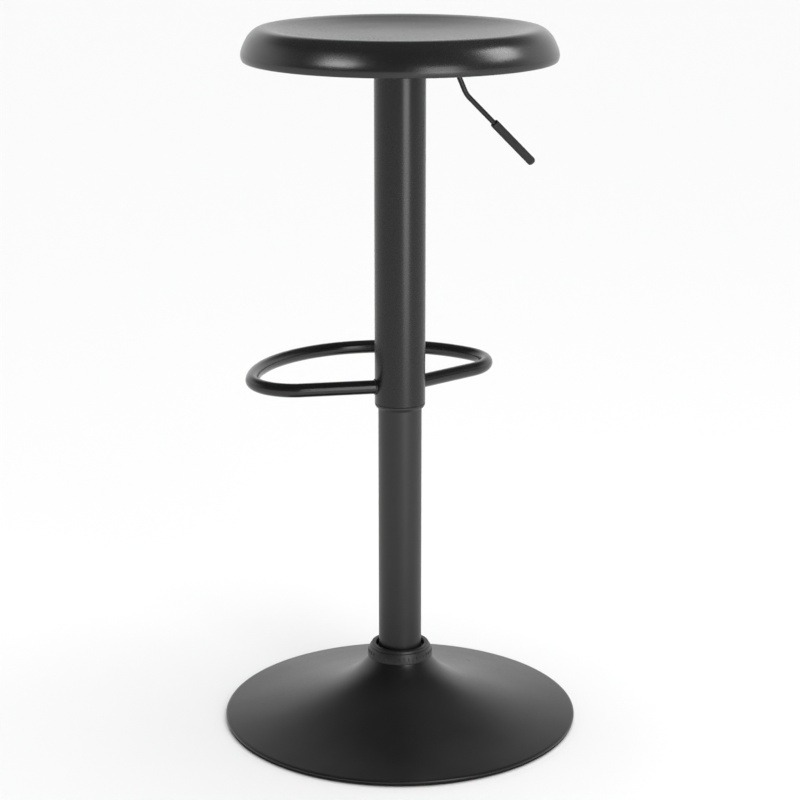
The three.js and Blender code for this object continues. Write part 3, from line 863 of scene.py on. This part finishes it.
# %% Spin the seat pan
SEAT_SHEET = 1.5
seat_top = flowing([
    (0, 798), (40, 798.6), (80, 801.5), (110, 805.6), (132, 809.8), (143, 812.1),
    (151.5, 812.9), (158.5, 811.4), (164.4, 807.2), (169.2, 801.3), (174.1, 791.3), (176, 784),
    (175.5, 779.3), (174.4, 776.9),
])
hem = [(173.8, 776.5), (172.8, 776.5), (171.9, 777.1), (171.8, 778.6), (172.7, 779.6)]
seat_under = offset(seat_top, SEAT_SHEET)
seat_under = [point for point in seat_under if point[1] > 780.4]
seat_section = seat_top + hem + list(reversed(seat_under))
pressed_seat = keep("pressed_seat", spun(seat_section, seat_coat, 160, closed=False),
                    "seat_lift", "gloss_black_coat", "seat_pan")

# %% [markdown]
# ## Two lights for the seat alone
#
# A studio screens a light off with a black card so that it reaches one part only. Light linking
# does the same. The two high boxes may light the seat, or they would leave bright spots
# on the neck of the base.

# %% Screen the high boxes
seat_alone = bpy.data.collections.new("lit_by_high_boxes")
seat_alone.objects.link(pressed_seat)
for lamp in high_boxes:
    lamp.light_linking.receiver_collection = seat_alone
print("screened lights:", [lamp.name for lamp in high_boxes])

# %% [markdown]
# ## Cover tube and its end bush
#
# The cover tube is plain drawn tube. A plastic bush is pushed into its lower end; its rounded
# lip shows below the tube and a thin skirt wipes the column. Both are spun sections, with the
# corners eased so that they catch a thin line of light.

# %% Spin the cover tube and bush
cover_low, cover_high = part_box("cover_tube")
COVER_RADIUS = cover_high.x / MM
COVER_FOOT = cover_low.z / MM
COVER_HEAD = cover_high.z / MM
cover_section = softened([
    (COVER_RADIUS - 1.5, COVER_FOOT), (COVER_RADIUS, COVER_FOOT), (COVER_RADIUS, COVER_HEAD),
    (COVER_RADIUS - 1.5, COVER_HEAD),
], 0.5)
keep("cover_tube_drawn", spun(cover_section, tube_coat_with_painted_shade, 128), "seat_lift", "gloss_black_coat",
     "cover_tube")

bush_section = softened([
    (25.4, 379.4), (26.2, 379.1), (27.7, 380.6), (28.8, 382.6), (29.0, 384.7), (27.2, 384.7),
    (27.2, 432), (25.4, 432),
], 0.35)
keep("cover_bush_moulded", spun(bush_section, moulded_plastic, 128), "seat_lift",
     "black_plastic", "cover_bush")

# %% [markdown]
# ## The footrest
#
# A bent tube starts square to the cover tube, runs out straight, turns through a tight corner
# and closes in one wide front arc. Its path is two lines and three arcs, so it is written as
# points and swept. A curve object with a bevel would do as well, but the tree keeps the radius
# and the number of sides as named sizes.

# %% Draw the footrest's path
FOOTREST_HEIGHT = 404.0
FOOTREST_TURN = math.radians(115.8)
LEG_ANGLE = math.radians(74.6)
LEG_LENGTH = 114.0
CORNER_RADIUS = 50.3
FRONT_CENTRE = 37.8
LEG_FOOT = 27.75
FOOTREST_BAR = 8.0


def arc(centre, radius, start, end, steps):
    """Points on an arc in the XY plane, both ends included."""
    return [(centre[0] + radius * math.cos(start + (end - start) * i / steps),
             centre[1] + radius * math.sin(start + (end - start) * i / steps))
            for i in range(steps + 1)]


corner_x = LEG_LENGTH * math.cos(LEG_ANGLE) + CORNER_RADIUS * math.sin(LEG_ANGLE)
corner_y = LEG_LENGTH * math.sin(LEG_ANGLE) - CORNER_RADIUS * math.cos(LEG_ANGLE)
front_angle = math.atan2(corner_y, corner_x - FRONT_CENTRE)
front_radius = CORNER_RADIUS + math.hypot(corner_x - FRONT_CENTRE, corner_y)
leg = [(d * math.cos(LEG_ANGLE), d * math.sin(LEG_ANGLE))
       for d in [LEG_FOOT + (LEG_LENGTH - LEG_FOOT) * i / 8 for i in range(9)]]
half_path = leg + arc((corner_x, corner_y), CORNER_RADIUS, math.pi / 2 + LEG_ANGLE,
                      front_angle, 28)[1:]
half_path += arc((FRONT_CENTRE, 0.0), front_radius, front_angle, 0.0, 30)[1:]
flat_path = half_path + [(x, -y) for x, y in reversed(half_path[:-1])]
to_footrest = Matrix.Rotation(FOOTREST_TURN, 4, "Z")
footrest_path = [to_footrest @ Vector((x * MM, y * MM, FOOTREST_HEIGHT * MM))
                 for x, y in flat_path]
print("footrest path in mm:", round(sum((b - a).length for a, b in zip(
    footrest_path, footrest_path[1:])) / MM))

# %% [markdown]
# ### The weld beads
#
# Where the legs meet the cover tube they are welded on. The joint of two round tubes is a saddle
# line, which could be found by a boolean cut, but it has a simple formula. A thin bar swept along
# it, with a ripple for each pass of the torch, makes the bead.

# %% Sweep the footrest and its weld beads
BEAD_RADIUS = 1.15


def saddle_path(side, reach, steps=72):
    """The line where a leg meets the cover tube, a little outside both."""
    points = []
    for i in range(steps):
        turn = 2 * math.pi * i / steps
        across = reach * math.cos(turn)
        up = reach * math.sin(turn)
        out = math.sqrt((COVER_RADIUS + 0.25) ** 2 - across ** 2)
        place = Matrix.Rotation(FOOTREST_TURN + side * LEG_ANGLE, 4, "Z")
        points.append(place @ Vector((out * MM, across * MM, (FOOTREST_HEIGHT + up) * MM)))
    return points


footrest_meshes = [swept(footrest_path, FOOTREST_BAR * MM, footrest_coat, 32)]
for side in (1, -1):
    footrest_meshes.append(swept(saddle_path(side, FOOTREST_BAR + 0.35), BEAD_RADIUS * MM,
                                 footrest_coat, 10, closed=True, ripple=0.12, ripples=22.0))
keep("footrest_welded", combined(footrest_meshes), "seat_lift", "gloss_black_coat", "foot_ring")

# %% [markdown]
# ## The standing column
#
# The standing tube is drawn steel with a satin coat. It tapers at its foot to wedge in the base,
# and a plastic guide closes its top, hidden inside the cover tube.

# %% Spin the column and its guide
column_section = softened([
    (21.8, 12), (23.8, 12), (25, 90), (25, 500), (23, 500), (23, 90),
], 0.4)
keep("column_drawn", spun(column_section, satin_coat, 128), "base", "satin_black_coat",
     "column_tube")
guide_section = softened([
    (14.25, 436), (20.5, 436), (22.7, 440), (22.7, 500.3), (24.7, 500.3), (24.7, 502.2),
    (23.9, 503), (14.25, 503),
], 0.3)
keep("column_guide", spun(guide_section, moulded_plastic, 96), "base", "black_plastic",
     "column_bush")

# %% [markdown]
# ## The base
#
# The base is a trumpet pressed from one sheet: nearly flat at the rim, then rising faster and
# faster to a narrow neck. Its rim is rolled under and grips a flat rubber ring. Both are spun
# sections again, and the sheet's inner side follows the outer one.

# %% Spin the base shell and the floor ring
shell_top = flowing([
    (206.4, 6.1), (190, 8.8), (165, 13.2), (135, 19.8), (105, 28.6), (80, 38), (62, 47.8),
    (50, 57.4), (42.5, 66), (37.6, 73), (35.4, 78), (34.8, 81.5),
], 5)
shell_top = [(205.2, 2.95), (206.6, 3.0), (207.3, 3.6), (207.5, 4.4), (207.3, 5.3)] + shell_top
shell_top += [(34.8, 83), (34.8, 84.6)]
shell_under = [point for point in offset(shell_top[5:], -1.8) if point[0] < 203]
shell_section = shell_top + list(reversed(shell_under)) + [(203.4, 4.7), (203.5, 3.2)]
keep("base_pressed", spun(shell_section, base_coat, 192), "base", "satin_black_coat",
     "base_shell")

ring_section = softened([
    (190, 0), (205.6, 0), (206.3, 0.7), (206.3, 2.6), (190, 2.6),
], 0.4)
keep("floor_ring_rubber", spun(ring_section, black_rubber, 160), "base", "black_rubber",
     "floor_ring")

# %% [markdown]
# ## The collar
#
# A moulded ring hides the joint between the neck and the column. It has a narrow upper lip and
# a wider body that carries short upright ribs, so that a hand can turn it. The ring is spun; the
# ribs are one small rounded bar, set on points round the face. A fixed seed varies their length
# a little, as worn moulds do.

# %% Spin the collar and set its ribs
collar_section = softened([
    (36.9, 74.8), (38.2, 74.8), (38.2, 76.2), (37.2, 80.4), (36.3, 84.6), (35.5, 86.6),
    (34.6, 86.9), (34.3, 87.5), (33.7, 89.5), (32.8, 90.0), (29.0, 90.0), (28.4, 89.2),
    (28.4, 80.2),
    (31, 80.2), (31, 85.6), (34.0, 85.6), (35.1, 84.4), (35.1, 81.2),
], 0.5)

rib_shape = spun([(0.0, -3.4), (0.5, -3.2), (0.8, -2.7), (0.8, 2.7), (0.5, 3.2), (0.0, 3.4)],
                 moulded_plastic, 8, closed=False)
RIB_COUNT = 44
RIB_CIRCLE = 37.05
RIB_HEIGHT = 79.8
rib_points = []
for i in range(RIB_COUNT):
    turn = 2 * math.pi * i / RIB_COUNT
    rib_points.append((RIB_CIRCLE * MM * math.cos(turn), RIB_CIRCLE * MM * math.sin(turn),
                       RIB_HEIGHT * MM))
ribs = copied(rib_shape, rib_points, moulded_plastic, outward=True, least=(0.8, 0.8, 0.55))
keep("collar_moulded", combined([spun(collar_section, moulded_plastic, 128), ribs]), "base",
     "black_plastic", "collar_ring")

# %% [markdown]
# ## The lever and its grip
#
# The lever is a thin rod that runs out under the seat, drops, and slants to a sleeve. A short
# cross tube is welded to it for the pivot pin. Pulling the outer end up pushes the inner tip
# down on the valve button. The path is three straight stretches with two bends, so it is swept.

# %% Draw and sweep the lever
LEVER_TURN = Matrix.Rotation(math.radians(25.8), 4, "Z")
PIVOT = (28.0, 775.5)
LEVER_POINTS = [(-3.0, 775.5), (63.8, 775.5), (82.8, 733.7), (163.0, 656.7)]
LEVER_BENDS = [14.0, 30.0]


def bent(points, bends, steps=10):
    """Straight stretches with a round bend of the given radius at each inner point."""
    path = [Vector(points[0])]
    for i, radius in enumerate(bends, start=1):
        here = Vector(points[i])
        back = (Vector(points[i - 1]) - here).normalized()
        ahead = (Vector(points[i + 1]) - here).normalized()
        half_turn = (math.pi - back.angle(ahead)) / 2
        setback = radius * math.tan(half_turn)
        centre = here + (back + ahead).normalized() * radius / math.cos(half_turn)
        start = here + back * setback
        end = here + ahead * setback
        for step in range(steps + 1):
            t = step / steps
            spoke = (start - centre).lerp(end - centre, t).normalized() * radius
            path.append(centre + spoke)
    path.append(Vector(points[-1]))
    return path


lever_path = [LEVER_TURN @ Vector((x * MM, 0.0, z * MM)) for x, z in bent(LEVER_POINTS,
                                                                          LEVER_BENDS)]
pivot_place = (LEVER_TURN @ Matrix.Translation((PIVOT[0] * MM, 0.0, PIVOT[1] * MM))
               @ Matrix.Rotation(math.radians(90), 4, "X"))
cross_section = softened([(2.6, -29), (5, -29), (5, 29), (2.6, 29)], 0.4)
cross_tube = spun(cross_section, tube_coat_with_painted_shade, 40, place=pivot_place)
keep("lever_bent", combined([swept(lever_path, 3.0 * MM, tube_coat_with_painted_shade, 24), cross_tube]), "lever",
     "gloss_black_coat", "lever_rod")

# %% [markdown]
# ### The grip
#
# A plastic sleeve is pushed over the end of the rod. It could be a stretched capsule, but a
# section gives it an open inner end and a domed outer one. It is spun, then knurled by a second
# tree on the same worker object. It reaches 4 mm further up the rod than the frame's plain one.

# %% Spin and knurl the grip
GRIP_START = (118.7, 699.2)
GRIP_LENGTH = 71.0
grip_slope = math.atan2(LEVER_POINTS[3][1] - LEVER_POINTS[2][1],
                        LEVER_POINTS[3][0] - LEVER_POINTS[2][0])
grip_outside = [(5.0, 1.0 + i * 0.25) for i in range(int((GRIP_LENGTH - 5.0) * 4))]
grip_section = [(0.0, 62.0), (3.3, 62.0), (3.3, 0.25), (3.5, 0.0), (4.5, 0.0), (4.85, 0.25)]
grip_section += grip_outside + flowing([
    (5.0, 67.6), (4.7, 69.0), (3.7, 70.2), (2.0, 70.8), (0.0, GRIP_LENGTH),
], 4)
grip_place = (LEVER_TURN @ Matrix.Translation((GRIP_START[0] * MM, 0.0, GRIP_START[1] * MM))
              @ Matrix.Rotation(math.pi / 2 - grip_slope, 4, "Y"))
grip_mesh = worked(section_mesh(grip_section, False), [
    (SPIN, {"Facets": 144, "Finish": grip_plastic}),
    (KNURL, {"Depth": 0.0009, "Starts": 18.0, "Lead": 0.034, "From": 0.0016, "To": 0.0665,
             "Finish": grip_plastic}),
])
keep("grip_knurled", cleaned(grip_mesh, grip_place), "lever", "black_plastic", "lever_grip")

# %% [markdown]
# ## Under the seat
#
# A folded steel bracket joins the lift to the seat. Four hexagon screws with washers hold it to
# a pressed stiffener that is welded under the pan. The folded bracket keeps its CAD shape and
# only gets eased edges; the stiffener is round, so it is spun.

# %% Ease the bracket and the stiffener
keep("bracket_folded", bevelled_copy("lift_bracket", 0.5 * MM, satin_coat), "seat_lift",
     "satin_black_coat", "lift_bracket")
stiffener_section = softened([
    (20, 789.8), (74, 789.8), (88, 798.8), (104, 801), (104, 803.2), (89, 801), (73, 792.2),
    (20, 792.2),
], 1.2)
keep("stiffener_pressed", spun(stiffener_section, dark_iron, 128), "seat_lift", "dark_iron",
     "seat_stiffener")

# %% [markdown]
# ### Screws and washers
#
# Each screw has a hexagon head with its corners turned off and a thread that shows as rings. A true
# spiral thread would cost thousands of faces that nobody sees from below the seat. One good screw
# and one washer are made, and both are set on the same four points.

# %% Model one screw and one washer, then copy them
HEAD_CORNERS = 5.6
HEAD_HEIGHT = 4.0


def hexagon_head(across_corners, bottom, top, material):
    """A hexagon whose outer corners are turned off, as on a real screw."""
    rows = [(bottom, 0.0), (bottom, 0.86), (bottom + 0.45, 1.0), (top, 1.0), (top, 0.0)]
    shape = bmesh.new()
    rings = []
    for height, share in rows:
        ring = []
        for i in range(24):
            turn = 2 * math.pi * i / 24
            corner = across_corners * math.cos(math.pi / 6) / math.cos(
                (turn + math.pi / 6) % (math.pi / 3) - math.pi / 6)
            reach = min(corner, across_corners * 0.9) if 0 < share < 1 else corner * share
            ring.append(shape.verts.new((reach * MM * math.cos(turn),
                                         reach * MM * math.sin(turn), height * MM)))
        rings.append(ring)
    for low_ring, high_ring in zip(rings, rings[1:]):
        for i in range(24):
            j = (i + 1) % 24
            shape.faces.new((low_ring[i], low_ring[j], high_ring[j], high_ring[i]))
    mesh = bpy.data.meshes.new("hexagon")
    shape.to_mesh(mesh)
    shape.free()
    mesh.materials.append(material)
    return cleaned(mesh)


screw_low, screw_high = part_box("seat_screw_1")
HEAD_BOTTOM = screw_low.z / MM
SCREW_TIP = screw_high.z / MM
head = hexagon_head(HEAD_CORNERS, HEAD_BOTTOM, HEAD_BOTTOM + HEAD_HEIGHT, bright_steel)
shank_section = [(0.0, HEAD_BOTTOM + 3.6), (3.0, HEAD_BOTTOM + 3.6)]
thread_turns = int(SCREW_TIP - HEAD_BOTTOM - 5.0)
for i in range(thread_turns):
    shank_section += [(3.0, HEAD_BOTTOM + 4.4 + i), (2.55, HEAD_BOTTOM + 4.9 + i)]
shank_section += [(2.6, SCREW_TIP - 0.4), (2.0, SCREW_TIP), (0.0, SCREW_TIP)]
shank = spun(shank_section, bright_steel, 20, closed=False)
screw_points = []
for along, across in ((26, 50), (-26, 50), (-26, -50), (26, -50)):
    screw_points.append(LEVER_TURN @ Vector((along * MM, across * MM, 0.0)))
keep("seat_screws", copied(combined([head, shank]), screw_points, bright_steel), "seat_lift",
     "bright_steel", *[f"seat_screw_{i}" for i in range(1, 5)])

washer_low, washer_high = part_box("seat_washer_1")
washer_section = softened([
    (3.3, washer_low.z / MM), (6.5, washer_low.z / MM), (6.5, washer_high.z / MM),
    (3.3, washer_high.z / MM),
], 0.3)
keep("seat_washers", copied(spun(washer_section, bright_steel, 32), screw_points, bright_steel),
     "seat_lift", "bright_steel", *[f"seat_washer_{i}" for i in range(1, 5)])

# %% [markdown]
# ### The pin, the hub and the gas cylinder
#
# The lever turns on a riveted pin. A hub under the bracket grips the tapered top of the gas
# cylinder, and the valve's button stands out at its tip. All four are lathe work, so each is one
# section, and the pin is spun upright and then laid across the bracket.

# %% Turn the pivot pin, the hub and the valve
pin_section = softened([
    (0, -35.9), (2.6, -35.9), (4.2, -35.2), (4.2, -33.3), (2.5, -33.3), (2.5, 33.3), (4.2, 33.3),
    (4.2, 35.2), (2.6, 35.9), (0, 35.9),
], 0.25, closed=False)
keep("pivot_riveted", spun(pin_section, bright_steel, 32, closed=False, place=pivot_place),
     "seat_lift", "bright_steel", "lever_pivot")
hub_section = softened([(14.3, 720), (19, 720), (19, 763.2), (13.4, 763.2)], 0.5)
keep("hub_turned", spun(hub_section, dark_iron, 64), "seat_lift", "dark_iron", "seat_hub")
cylinder_section = softened([
    (10.5, 276), (14, 276), (14, 720), (12.9, 768.5), (3.3, 768.5), (3.3, 765), (10.9, 765),
    (10.9, 740), (12, 720), (12, 279.6), (10.5, 279.6),
], 0.4)
keep("cylinder_drawn", spun(cylinder_section, black_steel, 64), "seat_lift", "black_steel",
     "gas_cylinder")
button_section = softened([
    (0, 747), (3, 747), (3, 771.2), (2.2, 772.2), (0, 772.2),
], 0.3, closed=False)
keep("valve_pin", spun(button_section, bright_steel, 32, closed=False), "valve", "bright_steel",
     "valve_button")

# %% [markdown]
# ## Under the base
#
# A flat steel plate closes the base and four countersunk screws hold it to the ballast ring.
# Through its middle the tapered foot of the column shows, with the rod's end and its clip. The
# drilled plate and the cast ballast keep their CAD shape; the rest is turned.

# %% Close the base from below
keep("plate_drilled", bevelled_copy("base_plate", 0.25 * MM, dark_iron), "base", "dark_iron",
     "base_plate")
keep("ballast_cast", bevelled_copy("base_ballast", 0.5 * MM, dark_iron), "base", "dark_iron",
     "base_ballast")
socket_section = softened([
    (24.1, 5.4), (44, 5.4), (44, 8.6), (28, 8.6), (28, 84), (25.2, 84), (24.1, 12),
], 0.5)
keep("socket_welded", spun(socket_section, dark_iron, 96), "base", "dark_iron", "base_socket")
foot_section = softened([(4.3, 13), (21.5, 13), (21.5, 17), (4.3, 17)], 0.4)
keep("column_foot_plate", spun(foot_section, dark_iron, 64), "base", "dark_iron", "column_foot")

plate_screw_section = softened([
    (0, 3.9), (2.2, 3.9), (2.2, 3.1), (6, 3.1), (3, 4.8), (3, 11.4), (0, 11.4),
], 0.12, closed=False)
plate_screw_points = []
for i in range(4):
    low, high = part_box(f"base_screw_{i + 1}")
    plate_screw_points.append(((low.x + high.x) / 2, (low.y + high.y) / 2, 0.0))
keep("plate_screws", copied(spun(plate_screw_section, bright_steel, 32, closed=False),
                            plate_screw_points, bright_steel),
     "base", "bright_steel", *[f"base_screw_{i}" for i in range(1, 5)])

# %% [markdown]
# ## The swivel and the piston
#
# All that turns on the base hangs on one thin rod. It passes a clip, a washer and the foot
# plate, and carries the load on a thrust bearing: two hard washers with balls in a cage between
# them. Cylinders would do for most of it, but a groove and an eased edge cost one line each.

# %% Turn the rod and its rings
rod_section = softened([
    (0, 7), (3.4, 7), (4, 7.8), (4, 9), (3, 9), (3, 10.4), (4, 10.4), (4, 24.2), (5, 24.2),
    (5, 299.9), (3.6, 299.9), (3.6, 316), (0, 316),
], 0.2, closed=False)
keep("rod_ground", spun(rod_section, bright_steel, 40, closed=False), "piston", "bright_steel",
     "piston_rod")
head_section = softened([
    (3.9, 300.2), (11.6, 300.2), (11.6, 305), (10.2, 305), (10.2, 309), (11.6, 309),
    (11.6, 314), (3.9, 314),
], 0.3)
keep("piston_turned", spun(head_section, bright_steel, 48), "piston", "bright_steel",
     "piston_head")
rings = [
    ("rod_clip", "piston", "black_steel", black_steel),
    ("rod_washer", "piston", "bright_steel", bright_steel),
    ("bearing_washer_upper", "piston", "bright_steel", bright_steel),
    ("bearing_washer_lower", "base", "bright_steel", bright_steel),
]
for node, body, slot, material in rings:
    low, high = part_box(node)
    inner = 3.3 if node == "rod_clip" else 4.3
    outer = high.x / MM
    section = softened([
        (inner, low.z / MM), (outer, low.z / MM), (outer, high.z / MM), (inner, high.z / MM),
    ], 0.25)
    keep(node + "_turned", spun(section, material, 48), body, slot, node)

# %% [markdown]
# ### The ball cage
#
# Balls in a thin cage let the seat turn under load. Eight spheres could be placed by hand, but
# they repeat round a circle, so one ball with few faces is copied on eight points.

# %% Set the balls in their cage
BALL_RADIUS = 1.45
BALL_COUNT = 8
BALL_CIRCLE = 7.9
cage_low, cage_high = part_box("bearing_cage")
cage_middle = (cage_low.z + cage_high.z) / 2 / MM
cage = spun(softened([(5.4, cage_middle - 0.5), (10.4, cage_middle - 0.5),
                      (10.4, cage_middle + 0.5), (5.4, cage_middle + 0.5)], 0.15),
            bright_steel, 48)
ball_section = [(BALL_RADIUS * math.cos(a), BALL_RADIUS * math.sin(a)) for a in
                [-math.pi / 2 + math.pi * i / 8 for i in range(9)]]
ball_section[0] = (0.0, -BALL_RADIUS)
ball_section[-1] = (0.0, BALL_RADIUS)
ball = spun(ball_section, bright_steel, 12, closed=False)
ball_turns = [2 * math.pi * i / BALL_COUNT for i in range(BALL_COUNT)]
ball_points = [(BALL_CIRCLE * MM * math.cos(turn), BALL_CIRCLE * MM * math.sin(turn),
                cage_middle * MM) for turn in ball_turns]
keep("bearing_balls", combined([cage, copied(ball, ball_points, bright_steel)]), "base",
     "bright_steel", "bearing_cage")

# %% [markdown]
# ## Finishes on the pieces that stay
#
# A few inner rings keep their CAD shape because nothing of them shows. They still get the right
# finish, so that an exploded view looks true.

# %% Paint the carried-over nodes
KEPT_FINISHES = {
    "neck_ring": dark_iron,
    "piston_seal": black_rubber,
    "cylinder_guide": moulded_plastic,
    "valve_block": turned_brass,
}
for node, material in KEPT_FINISHES.items():
    for material_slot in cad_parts[node].material_slots:
        material_slot.material = material
print("kept nodes:", sorted(KEPT_FINISHES))
